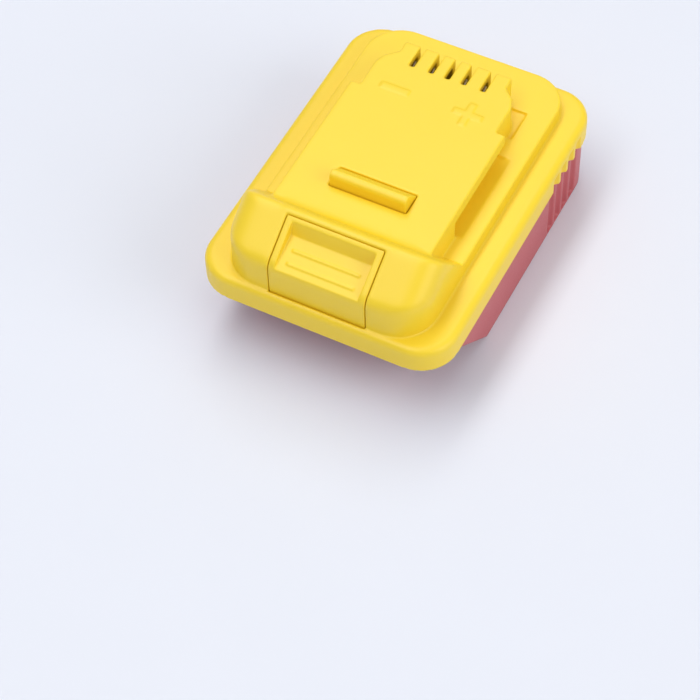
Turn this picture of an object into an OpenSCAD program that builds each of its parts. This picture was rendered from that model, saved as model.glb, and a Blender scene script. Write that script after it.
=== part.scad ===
// Adapter for a cordless tool: the channel in its underside, open at the front, takes the supply,
// and the tool slides onto the rails of its head from the back and is held by a sprung latch.
// Origin: centre of the base. +X right, +Y towards the tool terminals, +Z up. Millimetres.

/* [Body] */
// Width over the rim of the upper shell
body_w = 76; // [72:0.5:84]
// Length over the rim of the upper shell
body_l = 105.5; // [102:0.5:114]
// Plan radius of the rim corners
corner_r = 11; // [8:0.5:13]
// Height of the rim of the upper shell
rim_h = 8; // [7:0.25:10]
// Rounding of the upper edge of the rim
rim_fillet = 2; // [1:0.25:3]
// Height of the lower shell below the rim
skirt_h = 19.5; // [18:0.5:23]
// Step from the rim in to the lower shell
skirt_inset = 1; // [0.4:0.1:1.4]
// Moulded wall thickness
wall = 2.2; // [1.8:0.1:2.4]

/* [Head] */
// Height of the terminal block above the rim
head_h = 13.4; // [12.5:0.1:16]
// Width of the head
head_w = 60.8; // [59:0.2:63]
// Rim left showing in front of the head
front_step = 2.15; // [2:0.05:3]
// Length of the front hump from its foot to its crest
front_l = 14.4; // [14:0.1:16]
// Height of the hump's front wall above the rim
shoulder_h = 10.5; // [10:0.1:11.5]
// Height of the hump's crest above the terminal block
crest_h = 6.6; // [6:0.1:7.5]
// Slope of the back of the hump
crest_slope = 50; // [46:1:58]
// Plan radius of the front corners of the head
front_r = 11; // [9:0.5:13]
// Rounding of the hump's side edges
front_fillet = 7; // [5:0.25:8]
// Width of the terminal block behind the rails
block_w = 42.4; // [40:0.2:44]
// Rim and platform left behind the terminal block
back_step = 15.15; // [14:0.05:17]
// Height of the platform that carries the tool's rails
platform_h = 4.4; // [4:0.1:5]
// Rim left showing behind the platform
platform_step = 2.6; // [2.3:0.1:4]

/* [Tool rails] */
// Width over the rail flanges
flange_w = 48; // [46:0.2:50]
// Thickness of the rail flanges
flange_t = 3.8; // [3.2:0.1:4.2]
// Length of the rail flanges behind the hump
flange_l = 47.8; // [45:0.1:50]
// Depth of the channel beside the block, below the platform
channel_d = 0.9; // [0.6:0.1:1.7]
// Width of the channel beside the block
channel_w = 5; // [4:0.1:6]

/* [Tool terminals] */
// Distance from the middle to the inner terminal slots
slot_inner = 5.1; // [4.6:0.1:5.4]
// Distance from the middle to the outer terminal slots
slot_outer = 11.1; // [10.4:0.1:11.6]
// Width of a terminal slot
slot_w = 1.7; // [1.4:0.05:1.9]
// Length of a terminal slot
slot_l = 8.1; // [7:0.1:9]
// Sheet thickness of the tool terminal clips
clip_t = 0.5; // [0.4:0.05:0.6]

/* [Latch] */
// Width of the release button
button_w = 29; // [27:0.2:31]
// Length of the release button
button_l = 12.4; // [12:0.1:12.8]
// Width of the latch hook
hook_w = 23.2; // [21:0.2:25]
// Length of the latch hook
hook_l = 6.9; // [6:0.1:8]
// Height of the latch hook above the terminal block
hook_h = 4.2; // [3.6:0.1:4.5]
// Travel of the latch
latch_travel = 4.6; // [4.5:0.05:5]
// Gap around the button and the hook
latch_gap = 0.25; // [0.2:0.05:0.45]
// Depth of the thumb scoop at its back wall
scoop_d = 4.2; // [3.6:0.1:4.6]
// Wire thickness of the latch springs
spring_wire = 0.7; // [0.6:0.05:0.8]
// Outside diameter of the latch springs
spring_d = 6.9; // [6.4:0.1:7.4]

/* [Underside] */
// Width of the supply channel in the underside
pack_w = 60; // [58:0.5:61]
// Height of the supply channel in the underside
pack_h = 13; // [12.6:0.1:14]
// Reach of the lower rails into the supply channel
pack_rail = 3.5; // [3:0.1:4]
// Depth of the rear terminal compartment
pack_step = 24.75; // [24:0.05:26]
// Distance from the middle to the power blades
blade_x = 12; // [11:0.1:13]
// Sheet thickness of the supply blades
blade_t = 0.9; // [0.8:0.05:1]
// Reach of the supply blades into their channel
blade_l = 15; // [12:0.5:18]
// Slope of the cut-away front end of the lower shell
cut_angle = 42.5; // [40:0.5:50]

/* [Grip ribs] */
// Number of grip grooves on each side
grip_n = 4; // [3:1:5]
// Spacing of the grip grooves
grip_pitch = 5; // [4:0.1:5.2]
// Depth of the grip grooves
grip_d = 1.3; // [0.8:0.1:1.4]

/* [Fasteners] */
// Shank diameter of the housing screws
screw_d = 2.6; // [2.2:0.1:2.8]
// Head diameter of the housing screws
screw_head_d = 4.4; // [4:0.1:4.6]
// Shank diameter of the board screws
board_screw_d = 2; // [1.8:0.1:2.2]

/* [Hidden] */
$fn = 48;

// Clearance between fixed pieces that fit into each other
fit = 0.1;
// Overlap that makes cuts run through cleanly
eps = 0.5;
// Far larger than the part, for open-ended cuts
far = 300;
// Small step that keeps faces of crossing forms apart
blend = 0.04;

// Heights
split_z = skirt_h;
rim_z = split_z + rim_h;
platform_z = rim_z + platform_h;
channel_z = platform_z - channel_d;
head_z = rim_z + head_h;
crest_z = head_z + crest_h;
shoulder_z = rim_z + shoulder_h;
flange_z = head_z - flange_t;
rim_roof_z = rim_z - wall;
head_roof_z = head_z - wall;
pack_roof_z = pack_h + wall;

// Places along the part; hook_set is the distance from the hump to the hook
hook_set = 10.6;
front_y = -body_l/2;
back_y = body_l/2;
head_front = front_y + front_step;
crest_y = head_front + front_l;
section_y = crest_y + crest_h/tan(crest_slope);
hook_front = section_y + hook_set;
hook_rear = hook_front + hook_l;
flange_end = section_y + flange_l;
button_rear = head_front + button_l;
block_back = back_y - back_step;
slot_front = block_back - slot_l;
platform_back = back_y - platform_step;
pack_stop = back_y - pack_step;
pack_wall_back = pack_stop + wall;
skirt_back = back_y - skirt_inset;

// Hump: slope of its ramp, roundings along its shoulder and its crest
ramp = atan((crest_z - shoulder_z)/front_l);
shoulder_r = 4.5;
crest_r = 2;

// Terminal block: how far its rear corners step in, each as [from the side, from the back]
block_taper = [[0, 10.4], [1.2, 7.3], [4.5, 4.1], [4.5, 0]];

// Platform, with a channel under each flange that slopes up from its bed,
// and the pocket behind it, both sunk beside the block
platform_r = 11;
channel_set = 5.4;
channel_front = hook_front + channel_set;
channel_bed = 1.2;
pocket_w = 1.7;
pocket_ends = [7, 2.6];
pocket_y = [flange_end + pocket_ends[0], block_back - pocket_ends[1]];

// Raised marks beside the tool terminals
mark_x = 11.3;
mark_set = 10;
mark_y = slot_front - mark_set;
mark_l = 8.6;
mark_t = 1.9;
mark_h = 0.25;

// Grip grooves
grip_r = 1.9;
grip_set = 14.9;
grip_end = 0.5;
grip_foot = 0.8;
grip_first = back_y - grip_set;
grip_top = rim_z - rim_fillet - grip_end;

// Latch: carrier, button and hook
carrier_t = 2.5;
carrier_z = head_roof_z - latch_gap - carrier_t;
carrier_side = 1.2;
carrier_w = hook_w + 2*carrier_side;
button_skirt = 1.8;
button_foot = rim_z - button_skirt;
button_border = 1.9;
button_lip = 1.1;
scoop_rear = button_rear - button_lip;
scoop_draft = 1.2;
scoop_foot = scoop_rear - scoop_draft;
scoop_lip = 0.9;
ridges = 2;
ridge_step = 3.6;
ridge_side = 4.5;
ridge_w = button_w - 2*ridge_side;
ridge_r = 0.6;
hook_lead = 0.4;
hook_flat = 0.7;
hook_r = 1.6;

// Latch springs: place, coil, and the posts that centre their ends
spring_x = 8;
spring_set = 5.9;
spring_y = hook_front - spring_set;
tower_h = 6.8;
spring_seat_z = pack_roof_z + tower_h;
spring_r = (spring_d - spring_wire)/2;
spring_curls = 7;
spring_sides = 6;
spring_end_gap = 0.03;
post_gap = 0.6;
post_r = spring_r - spring_wire/2 - post_gap;
post_grip = 2;
post_clear = 2.25;
post_h = carrier_z - spring_seat_z - post_grip - latch_travel - post_clear;
tower_rim = 1;
tower_d = spring_d + 2*tower_rim;

// Supply channel in the underside, and the slanted front end of the lower shell
pack_rail_z = 4.6;
pack_catch_w = 26;
pack_catch_l = 8;
pack_catch_set = 37;
pack_catch_y = pack_stop - pack_catch_set;
plate_set = 1.5;
cut_set = 0.1;
cut_foot = hook_front + cut_set;
cavity_front = cut_foot - pack_h/tan(cut_angle) + wall;

// Circuit board and its posts; board_ends are the room left in front of it and behind it
board_t = 1.6;
board_post_h = 6.8;
board_z = pack_roof_z + board_post_h;
board_top = board_z + board_t;
board_w = 44;
board_ends = [5.5, 7.5];
board_front = hook_rear + board_ends[0];
board_back = block_back - board_ends[1];
board_post_r = 2.6;
board_post_in = [3.4, 3];
board_post_x = board_w/2 - board_post_in[0];
board_post_y = [board_front + board_post_in[1], board_back - board_post_in[1]];
board_screw_l = 6;
board_screw_head = [2*board_screw_d, 1.3];

// Tool terminals: clip_half, clip_pinch and clip_mouth are half widths inside a clip,
// clip_reach the lengths of its straight foot, pinch and mouth from the front of its slot
clip_x = [-slot_outer, -slot_inner, slot_inner, slot_outer];
slot_x = [-slot_outer, -slot_inner, 0, slot_inner, slot_outer];
clip_half = 1.2;
clip_pinch = 0.5;
clip_mouth = 0.85;
clip_reach = [10, 1.8, 4.5];
clip_foot = slot_front - clip_reach[0];
clip_h = 9;
clip_gap = 0.4;
clip_top = head_roof_z - clip_gap;
clip_base = clip_top - clip_h;
tail_w = 1.8;
tail_out = 1;
tail_z = board_z - tail_out;
holder_lip = [1.5, 1.4, 1.7];
holder_front = clip_foot - holder_lip[0];
holder_back = slot_front - holder_lip[1];
holder_top = clip_top - holder_lip[2];
holder_side = 4.4;
holder_w = 2*(slot_outer + holder_side);

// Supply terminals: blade_drop is from the channel's roof to the middle of a blade,
// block_lip what the block shows below, above and beside the blades, block_flange its rear flange
blade_x_all = [-blade_x, 0, blade_x];
blade_drop = 4.8;
blade_z = pack_h - blade_drop;
blade_h = 6.4;
blade_bevel = 1;
blade_end = 5.8;
blade_tail = pack_wall_back + blade_end;
sense_short = 3;
block_lip = [4.6, 4.2, 5];
block_x = blade_x + block_lip[2];
block_z = [blade_z - block_lip[0], blade_z + block_lip[1]];
block_flange = [2, 2.8, 1];

// Wires: radius, number of sides and the gap left at their ends
wire_r = 1.2;
sense_wire_r = 0.6;
wire_sides = 8;
wire_gap = 0.05;

// Housing screws and their bosses
screw_in = 3.6;
screw_set = [8.2, 11.75];
screw_x = body_w/2 - skirt_inset - screw_in;
screw_y = [hook_front + screw_set[0], back_y - screw_set[1]];
screw_seat_z = 8;
screw_head_h = 1.8;
screw_short = 0.7;
screw_tip_z = rim_roof_z - screw_short;
screw_gap = 0.3;
boss_wall = 1.7;
boss_r = screw_d/2 + boss_wall;
recess_d = 0.8;

// Electronics on the board: sizes, and places as [to the side, behind the board's front edge]
chip_size = [4, 5, 1.75];
chip_set = [5.5, 5];
chip_stand = 0.15;
chip_pitch = 1.27;
lead_w = 0.4;
lead_t = 0.25;
lead_out = 1.1;
transistor_size = [6.6, 6.2, 2.3];
transistor_set = [-4.5, 5.5];
tab_t = 0.5;
tab_out = 1;
tab_lead = [2.3, 0.8, 2.5];
capacitor_d = 6.3;
capacitor_h = 9;
capacitor_set = [-12.5, 5.5];
bead_z = 1.6;
bead_r = 0.5;
resistor_size = [3.2, 1.6, 0.6];
resistor_set = [5.5, 10];
function on_board(p) = [p[0], board_front + p[1], board_top];

yellow = [0.98, 0.87, 0.36];
red = [0.70, 0.27, 0.27];
steel = [0.78, 0.79, 0.80];
brass = [0.83, 0.66, 0.32];
black = [0.10, 0.10, 0.11];
green = [0.08, 0.36, 0.20];

function arc(x, y, r, a0, a1, n = 8) =
    [for (i = [0:n]) [x + r*cos(a0 + (a1 - a0)*i/n), y + r*sin(a0 + (a1 - a0)*i/n)]];

// Plain box between two corners
module box(a, b) {
    translate(a) cube(b - a);
}

// A copy on each side of the part's middle plane
module both_sides() {
    children();
    mirror([1, 0, 0]) children();
}

// Plan outline of a rectangle with rounded corners, from y0 to y1
module plan(w, y0, y1, r) {
    polygon(concat(
        arc(w/2 - r, y1 - r, r, 0, 90),
        arc(-w/2 + r, y1 - r, r, 90, 180),
        arc(-w/2 + r, y0 + r, r, 180, 270),
        arc(w/2 - r, y0 + r, r, 270, 360)));
}

// Half section of a slab: width a, height h, upper outer edge rounded by f
module edge_section(a, h, f) {
    polygon(concat([[0, 0], [a, 0]], arc(a - f, h - f, f, 0, 90), [[0, h]]));
}

// Slab with rounded plan corners of radius r and a rounded upper edge f,
// made of straight runs and quarter turns that meet face to face
module rounded_slab(w, y0, y1, r, h, f) {
    mid = (y0 + y1)/2;
    l = y1 - y0;
    box([-w/2 + r, y0 + r, 0], [w/2 - r, y1 - r, h]);
    for (s = [-1, 1]) {
        translate([0, mid + s*(l/2 - r), 0]) rotate([0, 0, s > 0 ? 0 : 180])
            translate([-w/2 + r, 0, 0]) rotate([90, 0, 90]) linear_extrude(w - 2*r) edge_section(r, h, f);
        translate([s*(w/2 - r), mid, 0]) rotate([0, 0, s > 0 ? 0 : 180])
            translate([0, l/2 - r, 0]) rotate([90, 0, 0]) linear_extrude(l - 2*r) edge_section(r, h, f);
    }
    for (q = [0:3]) {
        sx = (q == 0 || q == 3) ? 1 : -1;
        sy = q < 2 ? 1 : -1;
        translate([sx*(w/2 - r), mid + sy*(l/2 - r), 0]) rotate([0, 0, 90*q])
            rotate_extrude(angle = 90) edge_section(r, h, f);
    }
}

// Points of the hump's side outline moved in by c from its front wall, ramp and rear slope
function shoulder_in(c) = [head_front + c, shoulder_z + c*tan(ramp) - c/cos(ramp)];
function crest_in(c) = [crest_y, crest_z] - c/(1 + cos(ramp + crest_slope))
    *[sin(crest_slope) - sin(ramp), cos(crest_slope) + cos(ramp)];
function foot_in(c, z) = [crest_in(c)[0] + (crest_in(c)[1] - z)/tan(crest_slope), z];
// Height of the ramp at a place along the part
function ramp_z(y) = shoulder_z + (y - head_front)*tan(ramp);

// Height of the thumb scoop's floor at a place along the part
function scoop_z(y) = let (front_z = shoulder_z - scoop_lip)
    front_z + (y - head_front)/(scoop_foot - head_front)*(ramp_z(scoop_rear) - scoop_d - front_z);

// Side outline of the hump with its shoulder and crest rounded
module hump_side(z) {
    p = shoulder_in(shoulder_r);
    q = crest_in(crest_r);
    polygon(concat([[head_front, z]], arc(p[0], p[1], shoulder_r, 180, 90 + ramp),
        arc(q[0], q[1], crest_r, 90 + ramp, 90 - crest_slope), [foot_in(0, z)]));
}

// Outer form of the front hump, shared by the shell and the button
module front_form() {
    half = head_w/2 + blend;
    f = front_fillet;
    intersection() {
        translate([-far/2, 0, 0]) rotate([90, 0, 90]) linear_extrude(far) hump_side(rim_z - eps);
        translate([0, 0, rim_z - 2*eps]) linear_extrude(crest_z)
            plan(head_w, head_front - blend, far, front_r);
        translate([0, head_front, shoulder_z]) rotate([90 + ramp, 0, 0]) translate([0, 0, -far/2])
            linear_extrude(far) polygon(concat([[half, -far]], arc(half - f, blend - f, f, 0, 90),
                arc(-half + f, blend - f, f, 90, 180), [[-half, -far]]));
    }
}

// Plan outline of the terminal block with its stepped rear corners, inset all round
module block_plan(inset) {
    half = block_w/2 - inset;
    last = len(block_taper) - 1;
    right = [for (i = [0:last])
        [half - block_taper[i][0], block_back - block_taper[i][1] - (i == last ? inset : 0)]];
    start = button_rear - wall + inset/2;
    polygon(concat([[-half, start], [half, start]], right,
        [for (i = [last:-1:0]) [-right[i][0], right[i][1]]]));
}

// Grip grooves along both sides of a wall whose outer face is at x = face
module grip_cuts(face, z0, z1) {
    both_sides() for (i = [0:grip_n - 1])
        translate([face + grip_r - grip_d, grip_first - i*grip_pitch, z0])
            cylinder(r = grip_r, h = z1 - z0);
}

// Channel beside the block: its bed, and a slope that meets the platform at channel_w
// and runs on as far again above it
module channel_cut() {
    translate([block_w/2, flange_end, 0]) rotate([90, 0, 0]) linear_extrude(flange_end - channel_front)
        polygon([[0, channel_z], [channel_bed, channel_z],
            [2*channel_w - channel_bed, platform_z + channel_d], [0, platform_z + channel_d]]);
}

// Outside of the upper shell; ahead of the channels the block is as wide as its flanges,
// which stops a tool that slides on
module top_shell_form() {
    translate([0, 0, split_z]) rounded_slab(body_w, front_y, back_y, corner_r, rim_h, rim_fillet);
    front_form();
    difference() {
        translate([0, 0, rim_z - eps]) linear_extrude(platform_h + eps)
            plan(head_w, crest_y - front_l/4, platform_back, platform_r);
        both_sides() {
            channel_cut();
            box([0, pocket_y[0], channel_z], [block_w/2 + pocket_w, pocket_y[1], far]);
        }
    }
    translate([0, 0, channel_z - eps]) linear_extrude(head_z - channel_z + eps)
        intersection() {
            block_plan(0);
            translate([-far/2, section_y - eps]) square([far, far]);
        }
    box([-flange_w/2, section_y - eps, flange_z], [flange_w/2, flange_end, head_z]);
    box([-flange_w/2, section_y - eps, channel_z - eps], [flange_w/2, channel_front, head_z]);
    polarity_marks();
}

// Bar of a raised mark, l long and w wide, at x
module mark_bar(x, l, w) {
    translate([x - l/2, mark_y - w/2, head_z - eps]) cube([l, w, mark_h + eps]);
}

// Raised minus and plus marks beside the terminals
module polarity_marks() {
    mark_bar(-mark_x, mark_l, mark_t);
    mark_bar(mark_x, mark_l, mark_t);
    mark_bar(mark_x, mark_t, mark_l);
}

module top_shell_cavity() {
    translate([0, 0, split_z - eps]) linear_extrude(rim_roof_z - split_z + eps)
        plan(body_w - 2*wall, front_y + wall, back_y - wall, corner_r - wall);
    translate([0, 0, rim_roof_z - eps]) linear_extrude(channel_z - wall - rim_roof_z + eps)
        plan(head_w - 2*wall, head_front + wall, platform_back - wall, platform_r - wall/2);
    intersection() {
        translate([-far/2, 0, 0]) rotate([90, 0, 90]) linear_extrude(far)
            polygon([[head_front + wall, rim_roof_z], shoulder_in(wall), crest_in(wall),
                foot_in(wall, rim_roof_z)]);
        translate([0, 0, rim_roof_z - eps]) linear_extrude(crest_z)
            plan(head_w - 4*wall, head_front + 1.5*wall, far, front_r - 1.5*wall);
    }
    translate([0, 0, rim_roof_z - eps]) linear_extrude(head_roof_z - rim_roof_z + eps) block_plan(wall);
}

// Yellow upper shell: rim, head with the tool's rails, terminal slots and openings for the latch
module top_shell() {
    color(yellow) difference() {
        union() {
            difference() {
                top_shell_form();
                top_shell_cavity();
            }
            both_sides() for (y = screw_y)
                translate([screw_x, y, split_z]) cylinder(r = boss_r, h = rim_roof_z - split_z + eps);
        }
        both_sides() for (y = screw_y)
            translate([screw_x, y, split_z - eps])
                cylinder(d = screw_d + fit, h = screw_tip_z - split_z + 2*eps);
        for (x = slot_x)
            box([x - slot_w/2, slot_front, clip_base - eps], [x + slot_w/2, block_back + eps, head_z + eps]);
        box([-hook_w/2 - latch_gap, hook_front - latch_gap, carrier_z],
            [hook_w/2 + latch_gap, hook_rear + latch_gap, head_z + eps]);
        box([-button_w/2 - latch_gap, head_front - latch_gap, split_z - eps],
            [button_w/2 + latch_gap, button_rear + latch_gap, crest_z + eps]);
        grip_cuts(body_w/2, split_z - eps, grip_top);
    }
}

// Cut that takes away the front end of the lower shell under its slanted edge
module front_cut() {
    plate_z = split_z - wall;
    translate([-far/2, 0, 0]) rotate([90, 0, 90]) linear_extrude(far)
        polygon([[-far, -eps], [cut_foot + eps/tan(cut_angle), -eps],
            [cut_foot - plate_z/tan(cut_angle), plate_z], [-far, plate_z]]);
}

module bottom_shell_form() {
    difference() {
        linear_extrude(skirt_h)
            plan(body_w - 2*skirt_inset, front_y + plate_set, skirt_back, corner_r - skirt_inset);
        front_cut();
        translate([0, 0, pack_roof_z]) linear_extrude(skirt_h)
            plan(body_w - 2*(skirt_inset + wall), cavity_front, skirt_back - wall,
                corner_r - skirt_inset - wall);
        box([-pack_w/2, pack_wall_back, wall], [pack_w/2, skirt_back - wall, skirt_h]);
        box([-pack_w/2, -far, pack_rail_z], [pack_w/2, pack_stop, pack_h]);
        box([-pack_w/2 + pack_rail, -far, -eps], [pack_w/2 - pack_rail, pack_stop, pack_rail_z + eps]);
        box([-block_x - fit, pack_stop - eps, block_z[0] - fit],
            [block_x + fit, pack_wall_back + eps, block_z[1] + fit]);
        box([-pack_catch_w/2, pack_catch_y, pack_h - eps],
            [pack_catch_w/2, pack_catch_y + pack_catch_l, pack_roof_z + eps]);
    }
    both_sides() {
        for (y = screw_y)
            translate([screw_x, y, pack_roof_z - eps]) cylinder(r = boss_r, h = split_z - pack_roof_z + eps);
        for (y = board_post_y)
            translate([board_post_x, y, pack_roof_z - eps])
                cylinder(r = board_post_r, h = board_z - pack_roof_z + eps);
        translate([spring_x, spring_y, pack_roof_z - eps]) {
            cylinder(d = tower_d, h = spring_seat_z - pack_roof_z + eps);
            cylinder(r = post_r, h = spring_seat_z - pack_roof_z + eps + post_h);
        }
    }
}

// Red lower shell: side skirts, supply channel with its rails, and the rear terminal compartment
module bottom_shell() {
    color(red) difference() {
        bottom_shell_form();
        both_sides() {
            for (y = screw_y) translate([screw_x, y, -eps]) {
                cylinder(d = screw_head_d + 2*screw_gap, h = screw_seat_z + eps);
                cylinder(d = screw_d + screw_gap, h = split_z + 2*eps);
            }
            for (y = board_post_y)
                translate([board_post_x, y, board_z - board_screw_l - eps])
                    cylinder(d = board_screw_d + fit, h = board_screw_l + 2*eps);
        }
        grip_cuts(body_w/2 - skirt_inset, grip_foot, split_z + eps);
    }
}

// Yellow sprung latch: button, carrier and hook moulded in one piece
module release_latch() {
    color(yellow) {
        difference() {
            union() {
                intersection() {
                    front_form();
                    box([-button_w/2, head_front - eps, rim_z], [button_w/2, button_rear, far]);
                }
                box([-button_w/2, head_front, button_foot], [button_w/2, button_rear, rim_z + eps]);
            }
            translate([-button_w/2 + button_border, 0, 0]) rotate([90, 0, 90])
                linear_extrude(button_w - 2*button_border)
                    polygon([[scoop_rear + eps*scoop_draft/scoop_d, ramp_z(scoop_rear) + eps],
                        [scoop_foot, scoop_z(scoop_foot)], [head_front - eps, scoop_z(head_front - eps)],
                        [head_front - eps, far]]);
            translate([-button_w/2 + wall, 0, 0]) rotate([90, 0, 90])
                linear_extrude(button_w - 2*wall)
                    polygon([[head_front + wall, button_foot - eps], [button_rear - wall, button_foot - eps],
                        [button_rear - wall, scoop_z(scoop_foot) - wall],
                        [head_front + wall, scoop_z(head_front + wall) - wall]]);
        }
        for (i = [1:ridges]) scoop_ridge(scoop_foot - i*ridge_step);
        box([-carrier_w/2, button_rear - wall, carrier_z],
            [carrier_w/2, hook_rear, carrier_z + carrier_t]);
        translate([-hook_w/2, 0, 0]) rotate([90, 0, 90]) linear_extrude(hook_w)
            polygon(concat([[hook_front, carrier_z], [hook_rear, carrier_z], [hook_rear, head_z - hook_lead],
                [hook_front + hook_r + hook_flat, head_z + hook_h]],
                arc(hook_front + hook_r, head_z + hook_h - hook_r, hook_r, 90, 180)));
        both_sides() translate([spring_x, spring_y, carrier_z - post_grip])
            cylinder(r = post_r, h = post_grip + eps);
    }
}

// Low ridge across the floor of the thumb scoop
module scoop_ridge(y) {
    translate([-ridge_w/2, y, scoop_z(y) - ridge_r/2]) rotate([0, 90, 0]) cylinder(r = ridge_r, h = ridge_w);
}

// Unit vector along v
function unit(v) = v/norm(v);
// Ring of points round p, square to the direction t, with n one direction across it
function ring(p, t, n, r, sides) =
    let (b = cross(t, n)) [for (k = [0:sides - 1]) p + r*(cos(360*k/sides)*n + sin(360*k/sides)*b)];

// Closed tube through a list of rings
module tube(rings, sides) {
    last = len(rings) - 1;
    points = [for (r = rings) for (p = r) p];
    walls = [for (i = [0:last - 1]) for (k = [0:sides - 1])
        let (a = i*sides + k, b = i*sides + (k + 1) % sides)
        each [[a, a + sides, b], [b, a + sides, b + sides]]];
    ends = [for (k = [1:sides - 2])
        each [[0, k, k + 1], [last*sides, last*sides + k + 1, last*sides + k]]];
    polyhedron(points, concat(walls, ends));
}

// Middle line of a spring that stands on its seat under the carrier
spring_len = carrier_z - spring_seat_z - spring_wire - 2*spring_end_gap;
spring_steps = 8*spring_curls;
function spring_point(i) = [spring_r*cos(45*i), spring_r*sin(45*i),
    spring_seat_z + spring_wire/2 + spring_end_gap + spring_len*i/spring_steps];
function spring_dir(i) =
    unit([-sin(45*i), cos(45*i), spring_len/(spring_curls*2*PI*spring_r)]);
spring_path = [for (i = [0:spring_steps]) spring_point(i)];
spring_self_gap = min([for (i = [0:spring_steps]) for (j = [i + 5:1:spring_steps])
    norm(spring_path[i] - spring_path[j])]) - spring_wire;
echo(spring_self_gap = spring_self_gap);

module latch_spring(side) {
    color(steel) translate([side*spring_x, spring_y, 0])
        tube([for (i = [0:spring_steps]) ring(spring_path[i], spring_dir(i), [cos(45*i), sin(45*i), 0],
            spring_wire/2, spring_sides)], spring_sides);
}

module latch_spring_left() latch_spring(-1);
module latch_spring_right() latch_spring(1);

// Self-tapping screws that hold the two shells together from below
module housing_screws() {
    color(steel) both_sides() for (y = screw_y) translate([screw_x, y, 0]) difference() {
        union() {
            translate([0, 0, screw_seat_z - screw_head_h])
                cylinder(d = screw_head_d, h = screw_head_h);
            translate([0, 0, screw_seat_z - eps])
                cylinder(d = screw_d, h = screw_tip_z - screw_seat_z + eps);
        }
        cross_recess(screw_head_d, screw_seat_z - screw_head_h);
    }
}

// Crossed driver recess cut into a head whose outer face is at height z, from below
module cross_recess(d, z) {
    for (a = [0, 90]) rotate([0, 0, a])
        box([-d*0.3, -d*0.07, z - eps], [d*0.3, d*0.07, z + recess_d]);
}

// Board that carries the terminals and the electronics
module circuit_board() {
    color(green) difference() {
        box([-board_w/2, board_front, board_z], [board_w/2, board_back, board_top]);
        both_sides() for (y = board_post_y)
            translate([board_post_x, y, board_z - eps])
                cylinder(d = board_screw_d + 2*fit, h = board_t + 2*eps);
        for (x = clip_x)
            box([x - tail_w/2 - fit, clip_foot - fit, board_z - eps],
                [x + tail_w/2 + fit, clip_foot + clip_t + fit, board_top + eps]);
    }
}

// Screws that hold the board on its posts
module board_screws() {
    color(steel) both_sides() for (y = board_post_y) translate([board_post_x, y, 0]) difference() {
        union() {
            translate([0, 0, board_top]) cylinder(d = board_screw_head[0], h = board_screw_head[1]);
            translate([0, 0, board_z - board_screw_l + fit])
                cylinder(d = board_screw_d, h = board_screw_l + board_t - fit + eps);
        }
        translate([0, 0, 2*board_top + board_screw_head[1]]) mirror([0, 0, 1])
            cross_recess(board_screw_head[0], board_top);
    }
}

// Black comb that holds the tool clips upright on the board
module tool_terminal_holder() {
    color(black) difference() {
        box([-holder_w/2, holder_front, board_top], [holder_w/2, holder_back, holder_top]);
        for (x = clip_x)
            box([x - clip_half - clip_t/2 - fit, clip_foot - fit, board_top - eps],
                [x + clip_half + clip_t/2 + fit, holder_back + eps, holder_top + eps]);
    }
}

// Folded spring clip that grips one blade of the tool
module tool_clip(x) {
    line = [[clip_half, clip_foot], [clip_half, holder_back], [clip_pinch, slot_front + clip_reach[1]],
        [clip_mouth, slot_front + clip_reach[2]]];
    color(brass) translate([x, 0, 0]) {
        translate([0, 0, clip_base]) linear_extrude(clip_h) {
            for (s = [-1, 1]) polygon(concat(
                [for (p = line) [s*(p[0] + clip_t/2), p[1]]],
                [for (i = [len(line) - 1:-1:0]) [s*(line[i][0] - clip_t/2), line[i][1]]]));
            translate([-clip_half, clip_foot]) square([2*clip_half, clip_t]);
        }
        box([-tail_w/2, clip_foot, tail_z], [tail_w/2, clip_foot + clip_t, clip_base + eps]);
    }
}

module tool_clip_negative() tool_clip(clip_x[0]);
module tool_clip_sense() tool_clip(clip_x[1]);
module tool_clip_identify() tool_clip(clip_x[2]);
module tool_clip_positive() tool_clip(clip_x[3]);

// Black block that holds the supply blades in the end wall of their channel
module pack_terminal_block() {
    flange_back = pack_wall_back + block_flange[1];
    color(black) difference() {
        union() {
            box([-block_x, pack_stop, block_z[0]], [block_x, pack_wall_back + eps, block_z[1]]);
            box([-block_x - block_flange[0], pack_wall_back, wall],
                [block_x + block_flange[0], flange_back, block_z[1] + block_flange[2]]);
        }
        for (x = blade_x_all)
            box([x - blade_t/2 - fit/2, pack_stop - eps, blade_z - blade_h/2 - fit/2],
                [x + blade_t/2 + fit/2, flange_back + eps, blade_z + blade_h/2 + fit/2]);
    }
}

// Flat blade with a bevelled tip that reaches into the supply channel
module pack_blade(x, reach) {
    tip = pack_stop - reach;
    half = blade_h/2;
    b = blade_bevel;
    color(brass) translate([x - blade_t/2, 0, blade_z]) rotate([90, 0, 90]) linear_extrude(blade_t)
        polygon([[tip, b - half], [tip + b, -half], [blade_tail, -half], [blade_tail, half],
            [tip + b, half], [tip, half - b]]);
}

module pack_blade_negative() pack_blade(-blade_x, blade_l);
module pack_blade_positive() pack_blade(blade_x, blade_l);
module pack_blade_sense() pack_blade(0, blade_l - sense_short);

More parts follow.
